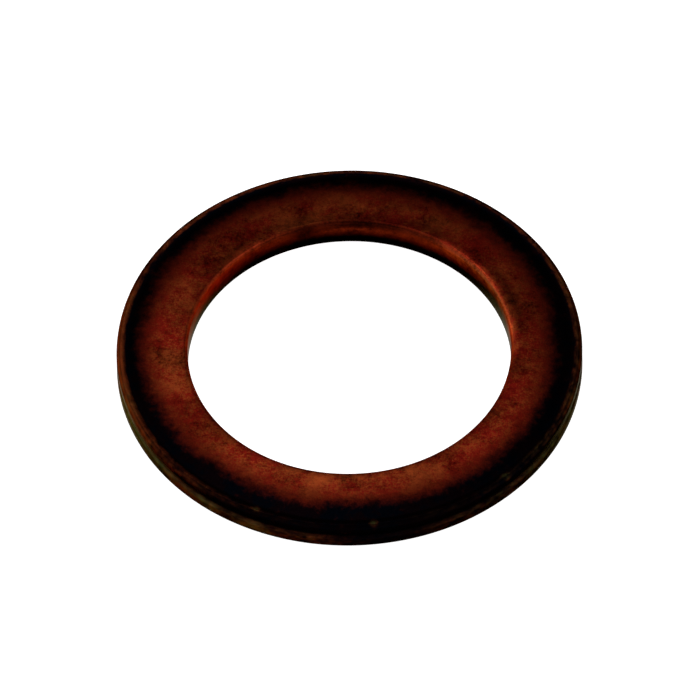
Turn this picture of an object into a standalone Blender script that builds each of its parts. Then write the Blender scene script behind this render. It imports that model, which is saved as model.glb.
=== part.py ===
"""A copper crush washer: one ring of soft copper sheet, folded double round its bore.

From the fold at the bore the sheet runs outwards as two flat sealing faces. Each face dips a little
near the rim and ends in a rounded bead, where the sheet turns towards the other face. The two turned
lips stop at an open seam in the outer wall, so the ring is hollow and gives as a plug is tightened.
The washer lies on its lower face at Z = 0, and Z is its axis.
"""
import math

import bmesh
import bpy

# Main sizes in metres
BORE_DIAMETER = 0.0140
FACE_WIDTH = 0.00312
THICKNESS = 0.0014
SHEET_THICKNESS = 0.00036

# Fold at the bore: a shallow outward bow between two pressed edges
BORE_BOW_RADIUS = 0.0060
BORE_EDGE_RADIUS = 0.00020
FOLD_INSIDE_RADIUS = 0.00006

# Rim of each face: a dip that deepens outwards, then the bead
DIP_WIDTH = 0.00096
DIP_DEPTH = 0.00008
BEAD_RADIUS = 0.00022

# Seam in the outer wall, measured from the lower face
SEAM_HEIGHT = 0.00074
SEAM_GAP = 0.00004
LIP_EDGE_RADIUS = 0.00022

# Facets
AROUND_STEPS = 88
LIP_EDGE_STEPS = 5
BEAD_STEPS = 6
DIP_STEPS = 5
DIP_LINING_STEPS = 3
BORE_EDGE_STEPS = 4
FOLD_LINING_STEPS = 2
BOW_STEPS = 2

# Finish
COPPER_COLOUR = (0.17, 0.035, 0.012, 1.0)
COPPER_ROUGHNESS = 0.42

QUARTER_TURN = math.radians(90.0)
HALF_TURN = math.radians(180.0)
SHARPEST_SMOOTH_BEND = math.radians(35.0)


def clear_scene():
    """Remove every object that the file holds."""
    for thing in list(bpy.data.objects):
        bpy.data.objects.remove(thing, do_unlink=True)


def arc(centre, radius, start, end, steps):
    """Points on a circle about centre, from the start angle to the end angle, both included."""
    angles = [start + (end - start) * i / steps for i in range(steps + 1)]
    return [(centre[0] + radius * math.cos(a), centre[1] + radius * math.sin(a)) for a in angles]


def rim_radius():
    """The washer's outer radius, one face width out from the bore."""
    return BORE_DIAMETER / 2.0 + FACE_WIDTH


def fold_curve(bow_radius, top, edge_radius, steps_edge):
    """The bore side of the sheet, from a flat face at height top down to the middle plane.

    An edge arc leaves the flat face and runs on smoothly into the bow, the large arc that
    faces the bore. The bow's centre lies in the middle plane.
    """
    bow_centre = (BORE_DIAMETER / 2.0 + BORE_BOW_RADIUS, 0.0)
    rise = top - edge_radius
    reach = math.sqrt((bow_radius - edge_radius) ** 2 - rise ** 2)
    meeting_angle = math.atan2(rise, -reach)
    edge = arc((bow_centre[0] - reach, rise), edge_radius, QUARTER_TURN, meeting_angle, steps_edge)
    bow = arc(bow_centre, bow_radius, meeting_angle, HALF_TURN, BOW_STEPS)
    return edge + bow[1:]


def bead_crease():
    """Where the bead's inner side meets the dip: its angle on the bead and its radius in the washer."""
    angle = QUARTER_TURN + math.acos((BEAD_RADIUS - DIP_DEPTH) / BEAD_RADIUS)
    radius = rim_radius() - BEAD_RADIUS + BEAD_RADIUS * math.cos(angle)
    return angle, radius


def dip_depth(radius):
    """How far the face lies below its flat land: the depth grows with the square of the way out."""
    way_out = (radius - bead_crease()[1] + DIP_WIDTH) / DIP_WIDTH
    return DIP_DEPTH * min(max(way_out, 0.0), 1.0) ** 2


def spread(start, end, steps):
    """Evenly spaced values from start to end, both included."""
    return [start + (end - start) * i / steps for i in range(steps + 1)]


def skin(lip_end):
    """Outer side of one half of the section, from the seam over the face to the middle of the bore.

    Points are (radius, height above the middle plane), and lip_end is the height of the seam's edge.
    """
    rim = rim_radius()
    top = THICKNESS / 2.0
    lip_centre = (rim - LIP_EDGE_RADIUS, lip_end + LIP_EDGE_RADIUS)
    lip = arc(lip_centre, LIP_EDGE_RADIUS, -QUARTER_TURN, 0.0, LIP_EDGE_STEPS)
    crease_angle, crease_radius = bead_crease()
    bead = arc((rim - BEAD_RADIUS, top - BEAD_RADIUS), BEAD_RADIUS, 0.0, crease_angle, BEAD_STEPS)
    dip_radii = spread(crease_radius, crease_radius - DIP_WIDTH, DIP_STEPS)[1:]
    dip = [(r, top - dip_depth(r)) for r in dip_radii]
    return lip + bead + dip + fold_curve(BORE_BOW_RADIUS, top, BORE_EDGE_RADIUS, BORE_EDGE_STEPS)


def lining(lip_end):
    """Inner side of the same half, one sheet thickness in, from the seam to the middle of the fold."""
    wall = rim_radius() - SHEET_THICKNESS
    top = THICKNESS / 2.0 - SHEET_THICKNESS
    land_edge = bead_crease()[1] - DIP_WIDTH
    face = [(r, top - dip_depth(r)) for r in spread(wall, land_edge, DIP_LINING_STEPS)]
    bow_radius = BORE_BOW_RADIUS - SHEET_THICKNESS
    return [(wall, lip_end)] + face + fold_curve(bow_radius, top, FOLD_INSIDE_RADIUS, FOLD_LINING_STEPS)


def mirrored(points):
    """The same points below the middle plane."""
    return [(r, -h) for r, h in points]


def section():
    """The sheet's closed section as (radius, height above the lower face), a C open at the seam."""
    middle = THICKNESS / 2.0
    upper_end = SEAM_HEIGHT - middle + SEAM_GAP / 2.0
    lower_end = middle - SEAM_HEIGHT + SEAM_GAP / 2.0
    outside = skin(upper_end) + mirrored(skin(lower_end))[-2::-1]
    inside = mirrored(lining(lower_end)) + lining(upper_end)[-2::-1]
    return [(r, middle + h) for r, h in outside + inside]


def revolve(name, points):
    """Turn a closed section once round Z into a solid ring."""
    bm = bmesh.new()
    corners = [bm.verts.new((r, 0.0, z)) for r, z in points]
    sides = [bm.edges.new((corners[i - 1], corners[i])) for i in range(len(corners))]
    bmesh.ops.spin(bm, geom=corners + sides, cent=(0.0, 0.0, 0.0), axis=(0.0, 0.0, 1.0),
                   angle=2.0 * HALF_TURN, steps=AROUND_STEPS, use_merge=True)
    bmesh.ops.recalc_face_normals(bm, faces=bm.faces)
    mesh = bpy.data.meshes.new(name)
    bm.to_mesh(mesh)
    bm.free()
    mesh.shade_smooth()
    mesh.set_sharp_from_angle(angle=SHARPEST_SMOOTH_BEND)
    return mesh


def copper():
    """Dull, heat-darkened copper."""
    material = bpy.data.materials.new("darkened_copper")
    material.use_nodes = True
    shader = material.node_tree.nodes["Principled BSDF"]
    shader.inputs["Base Color"].default_value = COPPER_COLOUR
    shader.inputs["Metallic"].default_value = 1.0
    shader.inputs["Roughness"].default_value = COPPER_ROUGHNESS
    return material


def build():
    """Make the washer."""
    clear_scene()
    mesh = revolve("crush_washer", section())
    mesh.materials.append(copper())
    washer = bpy.data.objects.new("crush_washer", mesh)
    bpy.context.scene.collection.objects.link(washer)


build()
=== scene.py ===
"""Looks of a copper crush washer: the fine folded ring, its rubbed and blackened copper with painted light
and shade, and a pale studio.

Lengths are in metres. The ring lies on its lower face at Z = 0 with its axis on Z, the camera stands
on the -Y side, and each point of the ring is given by its radius, its height and its angle round Z.
"""
import math

import bpy
import numpy as np
from bpy.props import FloatProperty, FloatVectorProperty, IntProperty, PointerProperty
from mathutils import Matrix, Vector


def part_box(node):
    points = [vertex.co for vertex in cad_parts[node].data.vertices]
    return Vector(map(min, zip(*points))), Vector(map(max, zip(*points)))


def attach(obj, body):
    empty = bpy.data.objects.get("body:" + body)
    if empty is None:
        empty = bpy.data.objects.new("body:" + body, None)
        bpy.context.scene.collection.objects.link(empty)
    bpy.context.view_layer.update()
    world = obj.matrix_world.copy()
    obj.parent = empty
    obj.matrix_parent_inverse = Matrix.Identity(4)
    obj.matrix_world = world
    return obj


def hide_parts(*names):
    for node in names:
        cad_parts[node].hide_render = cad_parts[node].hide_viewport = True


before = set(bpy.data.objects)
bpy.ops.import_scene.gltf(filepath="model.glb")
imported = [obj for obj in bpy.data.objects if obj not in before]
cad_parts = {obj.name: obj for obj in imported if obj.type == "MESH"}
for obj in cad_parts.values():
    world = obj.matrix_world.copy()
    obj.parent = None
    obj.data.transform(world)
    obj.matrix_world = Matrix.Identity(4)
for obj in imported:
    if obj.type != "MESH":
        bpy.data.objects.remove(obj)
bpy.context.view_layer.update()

bl_info = {
    "name": "Crush Washer",
    "version": (1, 0, 0),
    "blender": (4, 5, 0),
    "location": "3D View > Sidebar > Crush Washer",
    "description": "Builds a folded copper crush washer and the pale studio it is shown in",
    "category": "Add Mesh",
}

NODE = "crush_washer"
BODY = "root"
LOW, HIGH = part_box(NODE)

MM = 0.001
FULL_TURN = 2.0 * math.pi
QUARTER = math.pi / 2.0
SEED = 14

# Steps of the section
LIP_STEPS = 9
WALL_STEPS = 3
BEAD_STEPS = 14
DIP_STEPS = 16
LAND_STEPS = 8
EDGE_STEPS = 8
BOW_STEPS = 5
LINING_STEPS = 3
FOLD_LINING_STEPS = 2

# The dip's points crowd towards the crease, and the points on both sides of the crease are eased
DIP_CROWDING = 1.6
CREASE_REACH = 7
CREASE_ROUNDS = 24

# Largest sway of the rim and of the seam
RIM_SWAY = 0.012 * MM
SEAM_SWAY = 0.020 * MM

# Where the looks change over, each as the two ends of a smooth step: these over the radius
BORE_SIDE = (7.19 * MM, 7.06 * MM)
LAST_STRIP = (7.36 * MM, 7.24 * MM)
BORE_RIM = (7.55 * MM, 7.15 * MM)
BESIDE_BORE = (8.0 * MM, 7.5 * MM)
# The painted highlight at the bore's edge reaches out between these two radii
HIGHLIGHT_REACH = (7.35 * MM, 7.08 * MM)

# and these over the height above the middle plane
UPPER_WALL = (-0.06 * MM, 0.10 * MM)
LIP_TOP = (0.10 * MM, -0.06 * MM)
LIP_FOOT = (-0.66 * MM, -0.46 * MM)
BORE_TOP = (0.66 * MM, 0.57 * MM)

# The heat scale on the face, partly painted shade, is half full at the scale edge listed below, which lies
# this much further out at +X and at +Y and wavers. It goes from none to full over the width. All are in
# millimetres.
SCALE_AND_SHADE_PUSH = (-0.10, 0.13)
SCALE_AND_SHADE_WAVER = 0.07
SCALE_AND_SHADE_WIDTH = 1.6

# Painted shade: the face darkens behind a line across the ring, towards this way and between these two
# distances
DARK_WAY = (-0.30, -0.954)
DARK_LINE = (3.8 * MM, -5.2 * MM)
DARKER_BEHIND = 0.38
DARKER_BESIDE_BORE = 0.28

# Rows of painted light and shade on the bore's rounded edges, each as (middle, width) of a bell over the
# angle between the surface's outward direction and the way out from the axis, in degrees: 90 on the flat
# faces, 180 in the bore
EDGE_ZONE = 7.6 * MM
START_ROW = (105.0, 11.0)
MIDDLE_ROW = (121.0, 13.0)
END_ROW = (131.0, 12.0)

# Looks that vary round the ring, each a level and then its hills as (height, middle angle, width). The
# angles are in degrees round Z from +X, so that -90 is the camera's side. The first four are millimetres.
SCALE_AND_SHADE_EDGE = (8.63, (0.16, -35.0, 30.0), (-0.08, -105.0, 22.0), (-0.07, -136.0, 18.0), (-0.05, 40.0, 25.0),
              (0.06, 118.0, 16.0))
# Painted shade: the bore's wall darkens downwards between these two heights
FADE_TOP = (0.50, (-0.30, 165.0, 18.0), (-0.12, 45.0, 9.0))
FADE_FOOT = (-0.24, (0.30, 22.0, 12.0), (-0.40, 140.0, 14.0))
CREST_START = (-0.20, (0.11, 85.0, 50.0))
# Painted light and shade on the face, then on the bore's wall and on the bore's edges
FACE_PATCHES = (
    (1.0, (-0.36, -150.0, 14.0)), (1.0, (-0.12, -100.0, 40.0)), (1.0, (0.10, 182.0, 14.0)),
    (1.0, (0.10, -32.0, 16.0)), (1.0, (0.14, 0.0, 16.0)))
BESIDE_DIPS = (0.0, (-0.26, -58.0, 12.0), (-0.50, 24.0, 13.0))
BESIDE_RISES = (0.0, (0.50, 86.0, 12.0), (0.35, 45.0, 8.0), (-0.20, 62.0, 9.0))
RIM_LIGHT = (-0.20, (2.60, 18.0, 16.0), (0.60, 0.0, 12.0), (0.80, 36.0, 9.0), (0.38, 57.0, 10.0),
             (-0.40, 135.0, 8.0), (-0.16, 150.0, 14.0))
LAST_STRIP_LIGHT = (0.0, (-0.42, 88.0, 26.0))
WALL_LIGHT = (0.455, (-0.095, 93.0, 45.0), (-0.23, 105.0, 8.0), (-0.20, 131.0, 12.0), (-0.12, 65.0, 14.0),
              (-0.08, 28.0, 9.0), (0.30, 12.0, 11.0), (0.07, 46.0, 8.0), (-0.06, 119.0, 7.0))
WALL_DARK = (0.0, (0.86, 85.0, 20.0), (0.34, 126.0, 18.0), (0.24, 52.0, 12.0))
EDGE_START = (0.0, (-0.34, 52.0, 14.0), (-0.45, 84.0, 18.0))
EDGE_MIDDLE = (0.50, (-0.55, 83.0, 17.0), (-0.50, 136.0, 11.0), (0.85, 12.0, 14.0), (0.45, 43.0, 12.0),
               (0.55, 26.0, 9.0), (0.40, 62.0, 9.0))
EDGE_END = (-0.25, (-0.60, 82.0, 22.0), (0.18, 107.0, 7.0), (0.60, 126.0, 16.0), (0.30, 120.0, 7.0),
            (0.65, 12.0, 16.0))
# Painted highlight at the bore's upper edge
EDGE_HIGHLIGHT = (0.0, (0.75, 42.0, 18.0), (1.0, 132.0, 12.0))
# The rim's wear, partly painted highlight
CREST_WEAR_AND_HIGHLIGHT = (0.20, (-0.18, -88.0, 40.0), (0.60, 180.0, 26.0), (0.36, 105.0, 28.0), (0.14, 15.0, 25.0),
              (-0.10, -38.0, 28.0), (-0.07, -130.0, 24.0))
LIP_WEAR_AND_HIGHLIGHT = (0.14, (0.60, -170.0, 34.0), (0.20, -2.0, 22.0), (0.14, -120.0, 18.0), (-0.12, -82.0, 24.0),
            (-0.06, -142.0, 20.0))
SIDE_WEAR_AND_HIGHLIGHT = (0.0, (0.55, -164.0, 22.0))
CREST_OLIVE = (0.0, (0.50, -40.0, 45.0))
LIP_OLIVE = (0.0, (0.85, -28.0, 34.0), (0.90, -157.0, 24.0), (0.30, 90.0, 60.0), (0.45, -122.0, 16.0))
BORE_OLIVE = (0.0, (0.44, 28.0, 23.0))

# Pale specks on the bead, each as (angle, radius in millimetres, size in millimetres, strength)
PALE_SPECKS = ((-84.9, 9.90, 0.14, 0.50), (-48.2, 9.90, 0.17, 0.30), (-115.0, 9.88, 0.14, 0.30))

# How strongly each noise of the copper sways its looks; a noise runs from about -0.5 to 0.5
TONE_SWAY = {"light": 1.6, "hue": 5.6, "specks": 3.5}
LIGHT_SWAY = {"light": 4.4, "grains": 1.5}
STREAK_SWAY = 1.4
SCALE_AND_SHADE_SWAY = {"blots": 0.32, "light": 0.9}
OLIVE_SWAY = 2.5
RUB_SWAY = 1.2
RELIEF_SWAY = {"grains": 1.0, "blots": 1.5}
ROUGHNESS_SWAY = 0.25
ROUGHNESS = 0.39
RELIEF_DEPTH = 0.012 * MM
DARKEST = 0.15
GRAZING_TINT = (0.42, 0.385, 0.28, 1.0)

# Ends of the smooth steps that turn the masks and their sway into layers
SMOKED_AND_SHADED_FROM_TO = (0.0, 0.8)
SCALED_AND_SHADED_FROM_TO = (0.3, 0.95)
BROWNER_FROM_TO = (-0.05, 0.05)
RUBBED_FROM_TO = (-0.2, 1.25)
WORN_AND_LIT_FROM_TO = (0.0, 0.12)

# Lamps as (name, place, side of the square), the levels of the sky and of the floor's own light, and the
# ends of the smooth steps between the sky's parts, over the direction
KEY_LAMP = ("key_lamp", (-0.005, 0.022, 0.058), 0.022)
LEFT_LAMP = ("left_lamp", (-0.26, 0.11, 0.095), 0.16)
RIGHT_LAMP = ("right_lamp", (0.26, -0.06, 0.13), 0.12)
RIGHT_LAMP_SHARE = 0.6
SKY_IN_FRONT = 0.80
SKY_BEHIND = 0.25
LOW_SKY_BEHIND = 1.0
SKY_BESIDE = 0.40
BEHIND_FROM_TO = (-0.55, 0.45)
LOW_FROM_TO = (0.40, 0.0)
BESIDE_FROM_TO = (0.55, 0.95)
FLOOR_LIGHT = 0.86


class WasherSizes(bpy.types.PropertyGroup):
    """Sizes of the folded ring. The rim and the thickness come from the solid model."""

    rim_radius: FloatProperty(
        name="Rim radius", description="Outer radius of the ring", default=(HIGH[0] - LOW[0]) / 2.0,
        unit="LENGTH")
    thickness: FloatProperty(
        name="Thickness", description="Height from face to face", default=HIGH[2] - LOW[2], unit="LENGTH")
    bore_diameter: FloatProperty(
        name="Bore", description="Diameter at the middle of the bore", default=14.0 * MM, unit="LENGTH")
    sheet: FloatProperty(
        name="Sheet", description="Thickness of the folded sheet", default=0.36 * MM, unit="LENGTH")
    bow_radius: FloatProperty(
        name="Bore bow", description="Radius of the bore's shallow outward bow", default=6.0 * MM,
        unit="LENGTH")
    edge_radius: FloatProperty(
        name="Bore edge", description="Radius of the pressed edge of the bore", default=0.20 * MM,
        unit="LENGTH")
    inside_radius: FloatProperty(
        name="Fold inside", description="Radius inside the fold's corners", default=0.06 * MM,
        unit="LENGTH")
    dip_width: FloatProperty(
        name="Dip width", description="Width of the dip beside the rim bead", default=0.96 * MM,
        unit="LENGTH")
    dip_depth: FloatProperty(
        name="Dip depth", description="Depth of the dip at the bead", default=0.08 * MM, unit="LENGTH")
    bead_radius: FloatProperty(
        name="Bead", description="Radius of the rounded rim bead", default=0.22 * MM, unit="LENGTH")
    seam_height: FloatProperty(
        name="Seam height", description="Height of the seam above the lower face", default=0.74 * MM,
        unit="LENGTH")
    seam_gap: FloatProperty(
        name="Seam gap", description="Opening of the seam", default=0.04 * MM, unit="LENGTH")
    lip_radius: FloatProperty(
        name="Lip", description="Rounding of the two lips at the seam", default=0.22 * MM, unit="LENGTH")
    around: IntProperty(
        name="Steps around", description="Steps of the surface round the axis", default=680, min=24)


class WasherFinish(bpy.types.PropertyGroup):
    """Colours and grain of the copper."""

    red_copper: FloatVectorProperty(
        name="Red copper", description="Redder grains and patches of the face",
        default=(0.101, 0.0045, 0.0025), size=3, subtype="COLOR", min=0.0, max=1.0)
    brown_copper: FloatVectorProperty(
        name="Brown copper", description="Browner grains and patches of the face",
        default=(0.125, 0.0212, 0.0050), size=3, subtype="COLOR", min=0.0, max=1.0)
    # Smoked copper and the two scale colours below make the heat scale band, which is partly painted shade
    smoked_and_shaded_copper: FloatVectorProperty(
        name="Smoked copper", description="Copper where the scale thins out",
        default=(0.050, 0.0044, 0.0017), size=3, subtype="COLOR", min=0.0, max=1.0)
    # Bore copper is also laid on the face beside the bore's edge as painted highlight
    bore_copper: FloatVectorProperty(
        name="Bore copper", description="Cleaner copper in the bore", default=(0.24, 0.0238, 0.0070),
        size=3, subtype="COLOR", min=0.0, max=1.0)
    # Rim brown colours the worn bead and lip, which are partly painted highlight
    rim_brown: FloatVectorProperty(
        name="Rim brown", description="Worn bead and lip", default=(0.115, 0.0215, 0.0055),
        size=3, subtype="COLOR", min=0.0, max=1.0)
    rim_olive: FloatVectorProperty(
        name="Rim olive", description="Olive tarnish of the lip", default=(0.050, 0.046, 0.013),
        size=3, subtype="COLOR", min=0.0, max=1.0)
    # Blue and brown scale colour the heat scale band, which is partly painted shade
    blue_scale_and_shade: FloatVectorProperty(
        name="Blue scale", description="Heat scale, blue-black", default=(0.0002, 0.0004, 0.0010),
        size=3, subtype="COLOR", min=0.0, max=1.0)
    brown_scale_and_shade: FloatVectorProperty(
        name="Brown scale", description="Heat scale, brown-black", default=(0.0010, 0.0003, 0.0006),
        size=3, subtype="COLOR", min=0.0, max=1.0)
    grain: FloatProperty(
        name="Grain", description="Size of the matte grain", default=0.09 * MM, unit="LENGTH")
    blot: FloatProperty(
        name="Blot", description="Size of the blots along worn and scaled edges", default=0.32 * MM,
        unit="LENGTH")
    streak: FloatProperty(
        name="Streak", description="Width of the drawn streaks that run round the bore", default=0.10 * MM,
        unit="LENGTH")
    rub: FloatProperty(
        name="Rub", description="Width of the rubbed spots along the rim", default=0.22 * MM, unit="LENGTH")
    patch: FloatProperty(
        name="Patch", description="Size of the largest colour patches", default=1.8 * MM, unit="LENGTH")


class WasherStudio(bpy.types.PropertyGroup):
    """Camera, lamps and floor."""

    camera_distance: FloatProperty(
        name="Camera distance", description="From the washer to the camera", default=1.0, unit="LENGTH")
    elevation: FloatProperty(
        name="Camera elevation", description="Angle above the horizon", default=math.radians(50.38),
        unit="ROTATION")
    roll: FloatProperty(
        name="Camera roll", description="Turn of the view about its axis", default=math.radians(1.15),
        unit="ROTATION")
    view_width: FloatProperty(
        name="View width", description="Width seen at the washer", default=30.403 * MM, unit="LENGTH")
    aim_across: FloatProperty(
        name="Aim across", description="Aim to the right of the washer's middle", default=0.022 * MM,
        unit="LENGTH")
    aim_up: FloatProperty(
        name="Aim up", description="Aim above the washer's middle in the view", default=0.300 * MM,
        unit="LENGTH")
    floor_size: FloatProperty(
        name="Floor size", description="Side of the square floor", default=2.4, unit="LENGTH")
    floor_colour: FloatVectorProperty(
        name="Floor colour", description="Pale floor", default=(0.9, 0.9, 0.9), size=3, subtype="COLOR")
    key_watts: FloatProperty(
        name="Key lamp", description="Power of the soft lamp behind", default=0.0095, unit="POWER")
    fill_watts: FloatProperty(
        name="Fill lamps", description="Power of the soft lamps at the sides", default=0.05, unit="POWER")


def smooth_step(low, high, value):
    """0 below low and 1 above high, joined by the curve 3t^2 - 2t^3."""
    t = np.clip((value - low) / (high - low), 0.0, 1.0)
    return t * t * (3.0 - 2.0 * t)


def sway(angles, first, last, rng):
    """A smooth closed wave round the ring: sines of first to last waves a turn, the finer ones lower."""
    waves = np.arange(first, last + 1)
    phases = rng.uniform(0.0, FULL_TURN, waves.size)
    heights = 1.0 / np.sqrt(waves)
    total = (heights * np.sin(np.outer(angles, waves) + phases)).sum(axis=1)
    return total / np.abs(total).max()


def arc(centre, radius, start, end, steps):
    """Points on a circle: the centre plus the radius along each angle from start to end."""
    t = np.linspace(start, end, steps + 1)
    return np.column_stack((centre[0] + radius * np.cos(t), centre[1] + radius * np.sin(t)))


def straight(start, end, steps):
    """Evenly spaced points from start to end, the start left out."""
    t = np.linspace(0.0, 1.0, steps + 1)[1:, None]
    return np.asarray(start) * (1.0 - t) + np.asarray(end) * t


def fold_curve(sizes, bow_radius, top, edge_radius, edge_steps, bow_steps):
    """From the flat face at height top round the pressed edge and down the bow to the middle plane.

    The edge's circle touches both the flat face and the bow's circle, whose centre is in the middle plane.
    """
    bow_centre = (sizes.bore_diameter / 2.0 + sizes.bow_radius, 0.0)
    rise = top - edge_radius
    reach = math.sqrt((bow_radius - edge_radius) ** 2 - rise ** 2)
    meeting = math.atan2(rise, -reach)
    edge = arc((bow_centre[0] - reach, rise), edge_radius, QUARTER, meeting, edge_steps)
    bow = arc(bow_centre, bow_radius, meeting, math.pi, bow_steps)
    return np.vstack((edge, bow[1:]))


def eased(points, first, last, rounds):
    """The points with one stretch softened: in each round they move halfway to their neighbours' middle."""
    points = points.copy()
    for _ in range(rounds):
        middle = (points[first - 1:last - 1] + points[first + 1:last + 1]) / 2.0
        points[first:last] = (points[first:last] + middle) / 2.0
    return points


def half_skin(sizes, lip_end):
    """Outer side of half the section: lip, bead, dip, flat land and fold, from the seam to the bore.

    The dip falls with the square of the way out, and the crease where it meets the bead is worn round.
    """
    rim = sizes.rim_radius
    top = sizes.thickness / 2.0
    lip_centre = (rim - sizes.lip_radius, lip_end + sizes.lip_radius)
    lip = arc(lip_centre, sizes.lip_radius, -QUARTER, 0.0, LIP_STEPS)
    bead_centre = (rim - sizes.bead_radius, top - sizes.bead_radius)
    wall = straight(lip[-1], (rim, bead_centre[1]), WALL_STEPS)[:-1]
    crease = QUARTER + math.acos((sizes.bead_radius - sizes.dip_depth) / sizes.bead_radius)
    bead = arc(bead_centre, sizes.bead_radius, 0.0, crease, BEAD_STEPS)
    out = 1.0 - np.linspace(0.0, 1.0, DIP_STEPS + 1)[1:] ** DIP_CROWDING
    dip = np.column_stack((bead[-1, 0] - sizes.dip_width * (1.0 - out), top - sizes.dip_depth * out ** 2))
    fold = fold_curve(sizes, sizes.bow_radius, top, sizes.edge_radius, EDGE_STEPS, BOW_STEPS)
    land = straight(dip[-1], fold[0], LAND_STEPS)[:-1]
    foot = len(lip) + len(wall) + len(bead)
    half = np.vstack((lip, wall, bead, dip, land, fold))
    return eased(half, foot - CREASE_REACH, foot + CREASE_REACH + 1, CREASE_ROUNDS)


def half_lining(sizes, lip_end):
    """Inner side of half the section, one sheet thickness in, from the seam to the middle of the fold."""
    wall = sizes.rim_radius - sizes.sheet
    top = sizes.thickness / 2.0 - sizes.sheet
    crease = math.sqrt(sizes.bead_radius ** 2 - (sizes.bead_radius - sizes.dip_depth) ** 2)
    crease_radius = sizes.rim_radius - sizes.bead_radius - crease
    radii = np.linspace(wall, crease_radius - sizes.dip_width, LINING_STEPS + 1)
    out = np.clip((radii - crease_radius) / sizes.dip_width + 1.0, 0.0, 1.0)
    face = np.column_stack((radii, top - sizes.dip_depth * out ** 2))
    bow_radius = sizes.bow_radius - sizes.sheet
    fold = fold_curve(sizes, bow_radius, top, sizes.inside_radius, FOLD_LINING_STEPS, FOLD_LINING_STEPS)
    return np.vstack(([(wall, lip_end)], face, fold))


def section(sizes):
    """The closed C of the sheet as (radius, height above the middle plane), outer side first."""
    middle = sizes.thickness / 2.0
    upper = sizes.seam_height - middle + sizes.seam_gap / 2.0
    lower = middle - sizes.seam_height + sizes.seam_gap / 2.0
    flip = np.array((1.0, -1.0))
    skin = np.vstack((half_skin(sizes, upper), (half_skin(sizes, lower) * flip)[-2::-1]))
    lining = np.vstack((half_lining(sizes, lower) * flip, half_lining(sizes, upper)[-2::-1]))
    return np.vstack((skin, lining))


def outward_angles(points):
    """Direction of the outward normal at each point of the closed section, as an angle from +radius."""
    ahead = np.roll(points, -1, axis=0) - np.roll(points, 1, axis=0)
    return np.arctan2(-ahead[:, 0], ahead[:, 1])


def bulge(angles, middle, width):
    """A soft hill round the ring: 1 at the middle angle, falling to about a third at the width."""
    return np.exp(-(1.0 - np.cos(angles - math.radians(middle))) / (1.0 - math.cos(math.radians(width))))


def hilly(angles, level, *hills):
    """A level round the ring plus its hills, each its height times a bulge at its middle angle."""
    return level + sum(height * bulge(angles, middle, width) for height, middle, width in hills)


def bell(value, middle, width):
    """1 at the middle, falling to about a third at the width on both sides: exp(-t^2)."""
    return np.exp(-((value - middle) / width) ** 2)


def scale_and_shade_band(radius, turn, rng):
    """The heat scale on the face, partly painted shade, from 0 to 1: it thickens outwards across a wavering
    circle.
    """
    edge = hilly(turn, *SCALE_AND_SHADE_EDGE) + SCALE_AND_SHADE_PUSH[0] * np.cos(turn) + SCALE_AND_SHADE_PUSH[1] * np.sin(turn)
    edge = edge + SCALE_AND_SHADE_WAVER * sway(turn[:, 0], 3, 9, rng)[:, None]
    return np.clip((radius / MM - edge) / SCALE_AND_SHADE_WIDTH + 0.5, 0.0, 1.0)


def face_shade(radius, turn):
    """Painted light and shade on the face: darker behind a line across the ring, and in patches round it.

    Beside the bore, on its rim and on the last strip before its edge the face has patches of its own.
    """
    across = radius * (DARK_WAY[0] * np.cos(turn) + DARK_WAY[1] * np.sin(turn))
    behind = smooth_step(*DARK_LINE, across)
    beside = smooth_step(*BESIDE_BORE, radius)
    face = (1.0 - DARKER_BEHIND * behind) * (1.0 - DARKER_BESIDE_BORE * beside * behind)
    for patch in FACE_PATCHES:
        face = face * hilly(turn, *patch)
    face = face * (1.0 + beside * hilly(turn, *BESIDE_DIPS)) * (1.0 + beside * hilly(turn, *BESIDE_RISES))
    face = face * (1.0 + smooth_step(*BORE_RIM, radius) * hilly(turn, *RIM_LIGHT))
    return face * (1.0 + smooth_step(*LAST_STRIP, radius) * hilly(turn, *LAST_STRIP_LIGHT))


def wall_shade(height, turn):
    """Painted light and shade on the bore's wall: it fades downwards, and its upper part is dark at the
    back.
    """
    top = MM * hilly(turn, *FADE_TOP)
    foot = MM * hilly(turn, *FADE_FOOT)
    dark_from = 0.28 * MM - 0.20 * MM * bulge(turn, 106.0, 9.0)
    upper = smooth_step(0.0, 0.20 * MM, height - dark_from) * smooth_step(*BORE_TOP, height)
    wall = smooth_step(foot, top, height) * hilly(turn, *WALL_LIGHT)
    return wall * (1.0 - upper * hilly(turn, *WALL_DARK))


def edge_shade(radius, normal, turn):
    """Painted light and shade on the bore's rounded edges, in three rows from the face to the wall."""
    on_edge = radius < EDGE_ZONE
    start = bell(normal, *START_ROW) * hilly(turn, *EDGE_START)
    middle = bell(normal, *MIDDLE_ROW) * hilly(turn, *EDGE_MIDDLE)
    end = bell(normal, *END_ROW) * hilly(turn, *EDGE_END)
    return (1.0 + on_edge * (start + end)) * (1.0 + on_edge * middle)


def painted_edge_highlight(sizes, radius, height, turn):
    """Painted highlight at the bore's upper edge, on two stretches at the back, laid on as brighter copper.
    """
    band = bell(height, sizes.thickness / 2.0 - 0.06 * MM, 0.17 * MM * math.sqrt(2.0))
    return band * smooth_step(*HIGHLIGHT_REACH, radius) * hilly(turn, *EDGE_HIGHLIGHT)


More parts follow.
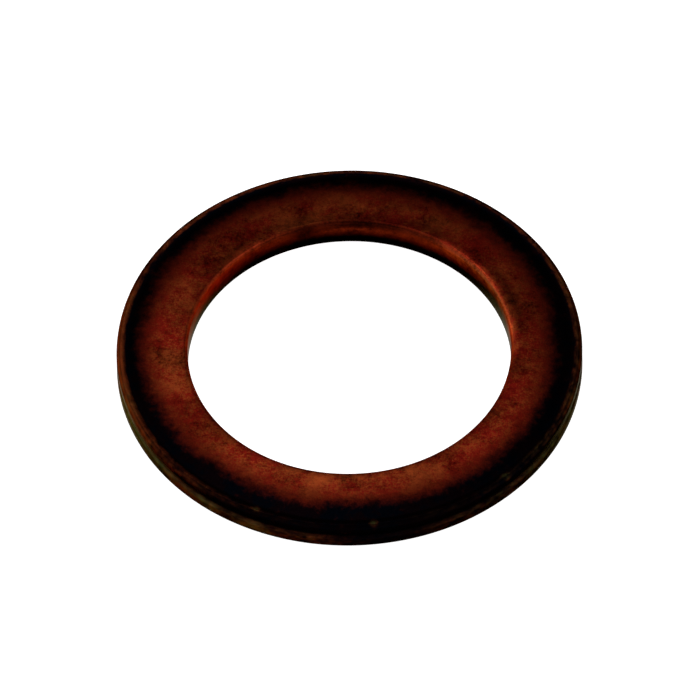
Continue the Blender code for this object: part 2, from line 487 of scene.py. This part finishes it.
def rim_wear_and_highlight(sizes, radius, height, normal, turn):
    """How far the rim is rubbed and lit by painted highlight, and how green it is there.

    It is rubbed on the bead's crest, on the upper wall at the left and on the lip below the seam, each
    partly a painted highlight, and a few pale specks lie on the bead.
    """
    bead_centre = sizes.rim_radius - sizes.bead_radius
    outside = radius > bead_centre
    crest_start = bead_centre + MM * hilly(turn, *CREST_START)
    crest = smooth_step(8.0, 38.0, normal) * smooth_step(0.0, 0.22 * MM, radius - crest_start)
    crest = crest * (height > 0.0)
    lip = outside * smooth_step(*LIP_FOOT, height) * smooth_step(*LIP_TOP, height)
    side = outside * smooth_step(*UPPER_WALL, height) * hilly(turn, *SIDE_WEAR_AND_HIGHLIGHT)
    specks = np.zeros((turn.size, radius.size))
    for degrees, out, size, strength in PALE_SPECKS:
        away = (radius - out * MM) ** 2 + (radius * (turn - math.radians(degrees % 360.0))) ** 2
        specks += strength * np.exp(-away / (size * MM) ** 2) * (height > 0.4 * MM)
    worn = np.maximum(crest * hilly(turn, *CREST_WEAR_AND_HIGHLIGHT), side) + lip * hilly(turn, *LIP_WEAR_AND_HIGHLIGHT) + specks
    olive = lip * hilly(turn, *LIP_OLIVE) + crest * hilly(turn, *CREST_OLIVE) + 3.0 * specks
    return worn, olive + 0.8 * side * (1.0 - crest)


def ring_masks(sizes, points, angles):
    """Looks of the ring as arrays of angle by section point.

    scaled: the heat scale and painted shade, from 0 on bare copper to 1. The faces scale over from a
    wavering circle out to the bead, and the outer wall is painted black.
    shade: painted light and shade, as a factor on the copper's plain colour.
    bore: 1 in the bore, and less on the face just beside the painted highlight on the bore's edge.
    worn, olive: how far the rim is rubbed and carries painted highlight, and how green the rubbed rim and
    the bore at the right are.
    """
    rng = np.random.default_rng(SEED)
    radius = points[:, 0][None, :]
    height = points[:, 1][None, :]
    normal = np.degrees(np.abs(outward_angles(points)))[None, :]
    turn = angles[:, None]
    in_bore = smooth_step(*BORE_SIDE, radius)
    outside = radius > sizes.rim_radius - sizes.bead_radius
    # heat scale and painted shade: a dark band on the faces, and the outer wall painted black all round
    scaled = np.maximum(scale_and_shade_band(radius, turn, rng) * (1.0 - in_bore), outside)
    # painted highlight on the bore's upper edge, brightening the face and the wall
    glow = painted_edge_highlight(sizes, radius, height, turn)
    # painted light and shade of the face, the bore's wall and its edges
    shade = face_shade(radius, turn) * (1.0 + glow) * (1.0 - in_bore)
    shade = shade + wall_shade(height, turn) * (1.0 + 1.9 * glow) * in_bore
    shade = shade * edge_shade(radius, normal, turn)
    # bore copper in the bore, and as painted highlight on the face beside its edge
    bore = np.maximum(in_bore, 0.7 * np.clip(glow, 0.0, 1.0))
    worn, olive = rim_wear_and_highlight(sizes, radius, height, normal, turn)
    olive = olive + in_bore * hilly(turn, *BORE_OLIVE)
    return {"scaled": scaled, "shade": shade, "bore": bore, "worn": worn, "olive": olive}


def ring_surface(sizes):
    """The ring's points: the section carried round Z, with a slight sway of the rim and the seam.

    A point at angle a is (radius cos a, radius sin a, height). The rim draws in and the seam rises and
    falls by a few hundredths of a millimetre, both fading out towards the bore.
    """
    points = section(sizes)
    angles = np.linspace(0.0, FULL_TURN, sizes.around, endpoint=False)
    rng = np.random.default_rng(SEED + 1)
    radius = np.broadcast_to(points[:, 0], (angles.size, len(points))).copy()
    height = np.broadcast_to(points[:, 1], (angles.size, len(points))).copy()
    near_rim = smooth_step(sizes.rim_radius - 0.9 * MM, sizes.rim_radius - 0.1 * MM, radius)
    off_seam = np.abs(height - (sizes.seam_height - sizes.thickness / 2))
    near_seam = near_rim * smooth_step(0.45 * MM, 0.05 * MM, off_seam)
    radius -= RIM_SWAY * near_rim * (1.0 + sway(angles, 2, 14, rng)[:, None]) / 2.0
    height += SEAM_SWAY * near_seam * sway(angles, 3, 30, rng)[:, None]
    turn = angles[:, None]
    where = np.stack((radius * np.cos(turn), radius * np.sin(turn), height + sizes.thickness / 2.0), axis=2)
    return where, points, angles


def grid_mesh(name, where):
    """A mesh from a grid of points that closes in both directions, with a four-sided face for each cell."""
    rows, columns = where.shape[:2]
    index = np.arange(rows * columns).reshape(rows, columns)
    ahead = np.roll(index, -1, axis=0)
    corners = (index, ahead, np.roll(ahead, -1, axis=1), np.roll(index, -1, axis=1))
    faces = np.stack(corners, axis=2).reshape(-1, 4)
    mesh = bpy.data.meshes.new(name)
    mesh.vertices.add(rows * columns)
    mesh.vertices.foreach_set("co", where.reshape(-1).astype(np.float32))
    mesh.loops.add(faces.size)
    mesh.loops.foreach_set("vertex_index", faces.reshape(-1).astype(np.int32))
    mesh.polygons.add(len(faces))
    mesh.polygons.foreach_set("loop_start", np.arange(0, faces.size, 4, dtype=np.int32))
    mesh.update(calc_edges=True)
    mesh.validate()
    return mesh


def store(mesh, name, values):
    """Keep one number for each point of the mesh under a name that materials can read."""
    layer = mesh.attributes.new(name, "FLOAT", "POINT")
    layer.data.foreach_set("value", values.reshape(-1).astype(np.float32))


class Wires:
    """Short ways to add nodes to a material's tree and join them."""

    def __init__(self, tree):
        self.tree = tree

    def add(self, kind, inputs=(), **settings):
        node = self.tree.nodes.new(kind)
        for key, value in settings.items():
            setattr(node, key, value)
        for key, value in dict(inputs).items():
            self.put(node.inputs[key], value)
        return node

    def put(self, socket, value):
        if isinstance(value, bpy.types.NodeSocket):
            self.tree.links.new(value, socket)
        else:
            socket.default_value = value

    def math(self, operation, *values, clamp=False):
        node = self.add("ShaderNodeMath", operation=operation, use_clamp=clamp)
        for socket, value in zip(node.inputs, values):
            self.put(socket, value)
        return node.outputs[0]

    def noise(self, where, size, detail, roughness=0.5):
        node = self.add("ShaderNodeTexNoise", {"Vector": where, "Scale": 1.0 / size, "Detail": detail,
                                               "Roughness": roughness})
        return node.outputs["Fac"]

    def streaks(self, where, width, length):
        """Noise drawn out round Z: the width up and outwards, and the length along the circle."""
        parts = self.add("ShaderNodeSeparateXYZ", {0: where})
        flat = self.add("ShaderNodeCombineXYZ", {0: parts.outputs[0], 1: parts.outputs[1]}).outputs[0]
        radius = self.add("ShaderNodeVectorMath", {0: flat}, operation="LENGTH").outputs["Value"]
        out = self.math("MULTIPLY", radius, length / width)
        place = self.add("ShaderNodeCombineXYZ", {0: parts.outputs[0], 1: parts.outputs[1], 2: out})
        up = self.math("MULTIPLY", parts.outputs[2], length / width)
        inputs = {"Vector": place.outputs[0], "W": up, "Scale": 1.0 / length, "Detail": 2.0,
                  "Roughness": 0.6}
        node = self.add("ShaderNodeTexNoise", inputs, noise_dimensions="4D")
        return node.outputs["Fac"]

    def centred(self, value, gain=1.0):
        """The value less a half, times the gain, so that it sways about 0."""
        return self.math("MULTIPLY", self.math("SUBTRACT", value, 0.5), gain)

    def weighed(self, values, gains):
        """The sum of the named values, each times its gain."""
        total = None
        for name, gain in gains.items():
            part = self.math("MULTIPLY", values[name], gain)
            total = part if total is None else self.math("ADD", total, part)
        return total

    def step(self, value, low, high):
        node = self.add("ShaderNodeMapRange", {"Value": value, "From Min": low, "From Max": high},
                        interpolation_type="SMOOTHSTEP")
        return node.outputs[0]

    def blend(self, amount, first, second):
        node = self.add("ShaderNodeMix", data_type="RGBA")
        self.put(node.inputs[0], amount)
        self.put(node.inputs[6], first)
        self.put(node.inputs[7], second)
        return node.outputs[2]

    def attribute(self, name):
        return self.add("ShaderNodeAttribute", attribute_name=name).outputs["Fac"]


def copper_material(finish):
    """Matte copper in grains and patches under painted light and shade, scaled black towards the rim,
    partly as painted shade, and worn on the bead and the lip, partly as painted highlight.
    """
    material = bpy.data.materials.new("scaled_and_shaded_copper")
    material.use_nodes = True
    tree = material.node_tree
    tree.nodes.clear()
    w = Wires(tree)
    place = w.add("ShaderNodeTexCoord").outputs["Object"]
    aside = w.add("ShaderNodeVectorMath", {0: place, 1: (0.031, 0.017, 0.005)}, operation="ADD").outputs[0]
    sways = {
        "light": w.centred(w.noise(place, finish.patch, 5.0, 0.86)),
        "hue": w.centred(w.noise(aside, finish.patch, 5.0, 0.82)),
        "blots": w.centred(w.noise(place, finish.blot, 2.0, 0.6)),
        "grains": w.centred(w.noise(place, finish.grain, 2.0, 0.7)),
        "specks": w.centred(w.noise(aside, finish.grain, 2.0, 0.7)),
    }

    # bare copper, redder and browner, with brighter copper and streaks in the bore, also laid beside the
    # bore's edge as painted highlight, all times the painted light and shade
    tone = w.math("ADD", w.weighed(sways, TONE_SWAY), 0.5, clamp=True)
    copper = w.blend(tone, (*finish.red_copper, 1.0), (*finish.brown_copper, 1.0))
    bare = w.blend(w.attribute("olive"), (*finish.bore_copper, 1.0), (*finish.rim_olive, 1.0))
    copper = w.blend(w.attribute("bore"), copper, bare)
    streaks = w.centred(w.streaks(place, finish.streak, 7.0 * finish.streak))
    drawn = w.math("MULTIPLY", w.math("MULTIPLY", streaks, STREAK_SWAY), w.attribute("bore"))
    bright = w.math("ADD", w.weighed(sways, LIGHT_SWAY), drawn)
    bright = w.math("MAXIMUM", w.math("ADD", bright, 1.0), DARKEST)
    bright = w.math("MULTIPLY", bright, w.attribute("shade"))
    copper = w.add("ShaderNodeHueSaturation", {"Color": copper, "Value": bright}).outputs[0]

    # heat scale, partly painted shade, with a ragged edge, smoked where it thins out
    cover = w.math("ADD", w.attribute("scaled"), w.weighed(sways, SCALE_AND_SHADE_SWAY))
    colour = w.blend(w.step(cover, *SMOKED_AND_SHADED_FROM_TO), copper, (*finish.smoked_and_shaded_copper, 1.0))
    browner = w.step(sways["hue"], *BROWNER_FROM_TO)
    scale = w.blend(browner, (*finish.blue_scale_and_shade, 1.0), (*finish.brown_scale_and_shade, 1.0))
    colour = w.blend(w.step(cover, *SCALED_AND_SHADED_FROM_TO), colour, scale)

    # brown and olive wear on the rim, partly painted highlight, in spots drawn out round it
    green = w.math("ADD", w.attribute("olive"), w.math("MULTIPLY", sways["hue"], OLIVE_SWAY), clamp=True)
    rim = w.blend(green, (*finish.rim_brown, 1.0), (*finish.rim_olive, 1.0))
    spots = w.centred(w.streaks(place, finish.rub, 2.0 * finish.rub), RUB_SWAY)
    rub = w.math("ADD", spots, w.math("MULTIPLY", sways["light"], RUB_SWAY))
    rub = w.step(w.math("ADD", w.attribute("worn"), rub), *RUBBED_FROM_TO)
    worn = w.math("MULTIPLY", rub, w.step(w.attribute("worn"), *WORN_AND_LIT_FROM_TO))
    colour = w.blend(worn, colour, rim)

    # matte grain
    roughness = w.math("ADD", w.math("MULTIPLY", sways["grains"], ROUGHNESS_SWAY), ROUGHNESS)
    relief = w.weighed(sways, RELIEF_SWAY)
    dents = w.add("ShaderNodeBump", {"Height": relief, "Strength": 0.5, "Distance": RELIEF_DEPTH})
    shader = w.add("ShaderNodeBsdfPrincipled", {
        "Base Color": colour, "Metallic": 1.0, "Roughness": roughness, "Normal": dents.outputs["Normal"]})
    shader.inputs["Specular Tint"].default_value = GRAZING_TINT
    out = w.add("ShaderNodeOutputMaterial")
    tree.links.new(shader.outputs[0], out.inputs["Surface"])
    return material


def floor_material(colour):
    """Pale matt floor that keeps a faint shadow: the camera and the copper see it near white."""
    material = bpy.data.materials.new("pale_floor")
    material.use_nodes = True
    tree = material.node_tree
    tree.nodes.clear()
    w = Wires(tree)
    path = w.add("ShaderNodeLightPath")
    seen = w.math("MAXIMUM", path.outputs["Is Camera Ray"], path.outputs["Is Glossy Ray"])
    seen = w.math("MAXIMUM", seen, path.outputs["Is Transmission Ray"])
    matt = w.add("ShaderNodeBsdfDiffuse", {"Color": (*colour, 1.0)})
    strength = w.math("MULTIPLY", seen, FLOOR_LIGHT)
    white = w.add("ShaderNodeEmission", {"Color": (1.0, 1.0, 1.0, 1.0), "Strength": strength})
    both = w.add("ShaderNodeAddShader", {0: matt.outputs[0], 1: white.outputs[0]})
    out = w.add("ShaderNodeOutputMaterial")
    tree.links.new(both.outputs[0], out.inputs["Surface"])
    return material


def add_object(name, data):
    """Link a new object that sits at the origin."""
    thing = bpy.data.objects.new(name, data)
    bpy.context.scene.collection.objects.link(thing)
    return thing


def soft_lamp(name, place, size, watts):
    """A square area lamp at a place, turned to the washer's middle and hidden from the camera."""
    light = bpy.data.lights.new(name, "AREA")
    light.shape = "SQUARE"
    light.size = size
    light.energy = watts
    lamp = add_object(name, light)
    lamp.location = place
    lamp.rotation_euler = (-Vector(place)).to_track_quat("-Z", "Y").to_euler()
    lamp.visible_camera = False
    return lamp


class WASHER_OT_make_ring(bpy.types.Operator):
    """Make the folded ring in place of its plain solid"""

    bl_idname = "washer.make_ring"
    bl_label = "Make Ring"

    def execute(self, context):
        sizes = context.scene.washer_sizes
        where, points, angles = ring_surface(sizes)
        if len(where) != sizes.around:
            raise RuntimeError("the ring's surface has the wrong number of steps")
        mesh = grid_mesh("copper_ring", where)
        for name, values in ring_masks(sizes, points, angles).items():
            store(mesh, name, values * np.ones(where.shape[:2]))
        mesh.shade_smooth()
        mesh.materials.append(copper_material(context.scene.washer_finish))
        ring = add_object("copper_ring", mesh)
        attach(ring, BODY)
        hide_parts(NODE)
        return {"FINISHED"}


class WASHER_OT_make_studio(bpy.types.Operator):
    """Make the floor, the lamps, the sky and the camera"""

    bl_idname = "washer.make_studio"
    bl_label = "Make Studio"

    def execute(self, context):
        studio = context.scene.washer_studio
        self.floor(studio)
        self.sky(context.scene)
        soft_lamp(*KEY_LAMP, studio.key_watts)
        soft_lamp(*LEFT_LAMP, studio.fill_watts)
        soft_lamp(*RIGHT_LAMP, studio.fill_watts * RIGHT_LAMP_SHARE)
        self.camera(context.scene, studio)
        context.scene.view_settings.view_transform = "Standard"
        return {"FINISHED"}

    def floor(self, studio):
        half = studio.floor_size / 2.0
        mesh = bpy.data.meshes.new("floor")
        corners = [(-half, -half, 0.0), (half, -half, 0.0), (half, half, 0.0), (-half, half, 0.0)]
        mesh.from_pydata(corners, [], [(0, 1, 2, 3)])
        mesh.materials.append(floor_material(studio.floor_colour))
        add_object("floor", mesh)

    def sky(self, scene):
        world = bpy.data.worlds.new("studio_sky")
        world.use_nodes = True
        tree = world.node_tree
        tree.nodes.clear()
        w = Wires(tree)
        way = w.add("ShaderNodeSeparateXYZ", {0: w.add("ShaderNodeTexCoord").outputs["Generated"]})
        behind = w.step(way.outputs["Y"], *BEHIND_FROM_TO)
        low = w.step(way.outputs["Z"], *LOW_FROM_TO)
        glow = w.math("MULTIPLY", w.math("MULTIPLY", low, behind), LOW_SKY_BEHIND)
        fall = w.math("MULTIPLY", behind, SKY_IN_FRONT - SKY_BEHIND)
        level = w.math("ADD", w.math("SUBTRACT", SKY_IN_FRONT, fall), glow)
        beside = w.step(w.math("ABSOLUTE", way.outputs["X"]), *BESIDE_FROM_TO)
        level = w.math("ADD", level, w.math("MULTIPLY", beside, SKY_BESIDE))
        sky = w.add("ShaderNodeBackground", {"Color": (1.0, 1.0, 1.0, 1.0), "Strength": level})
        tree.links.new(sky.outputs[0], w.add("ShaderNodeOutputWorld").inputs["Surface"])
        scene.world = world

    def camera(self, scene, studio):
        data = bpy.data.cameras.new("camera")
        data.sensor_width = 36.0
        data.lens = data.sensor_width * studio.camera_distance / studio.view_width
        data.clip_start = studio.camera_distance / 10.0
        data.clip_end = studio.camera_distance * 10.0
        back = Vector((0.0, -math.cos(studio.elevation), math.sin(studio.elevation)))
        turn = (-back).to_track_quat("-Z", "Y").to_matrix() @ Matrix.Rotation(-studio.roll, 3, "Z")
        middle = (Vector(LOW) + Vector(HIGH)) / 2.0
        aim = middle + turn @ Vector((studio.aim_across, studio.aim_up, 0.0))
        camera = add_object("camera", data)
        camera.matrix_world = Matrix.Translation(aim + back * studio.camera_distance) @ turn.to_4x4()
        scene.camera = camera


class WASHER_PT_panel(bpy.types.Panel):
    """Sizes, finish and studio of the washer"""

    bl_idname = "WASHER_PT_panel"
    bl_label = "Crush Washer"
    bl_space_type = "VIEW_3D"
    bl_region_type = "UI"
    bl_category = "Crush Washer"

    def draw(self, context):
        scene = context.scene
        for title, group in (("Sizes", scene.washer_sizes), ("Finish", scene.washer_finish),
                             ("Studio", scene.washer_studio)):
            box = self.layout.box()
            box.label(text=title)
            for name in group.__annotations__:
                box.prop(group, name)
        self.layout.operator(WASHER_OT_make_ring.bl_idname)
        self.layout.operator(WASHER_OT_make_studio.bl_idname)


GROUPS = {"washer_sizes": WasherSizes, "washer_finish": WasherFinish, "washer_studio": WasherStudio}
CLASSES = (*GROUPS.values(), WASHER_OT_make_ring, WASHER_OT_make_studio, WASHER_PT_panel)


def register():
    """Add the classes to Blender and their values to the scene."""
    for item in CLASSES:
        bpy.utils.register_class(item)
    for name, group in GROUPS.items():
        setattr(bpy.types.Scene, name, PointerProperty(type=group))


def unregister():
    """Take the values and the classes away again."""
    for name in GROUPS:
        delattr(bpy.types.Scene, name)
    for item in reversed(CLASSES):
        bpy.utils.unregister_class(item)


def main():
    """Build the ring and its studio."""
    register()
    bpy.ops.washer.make_ring()
    bpy.ops.washer.make_studio()


if __name__ == "__main__":
    main()
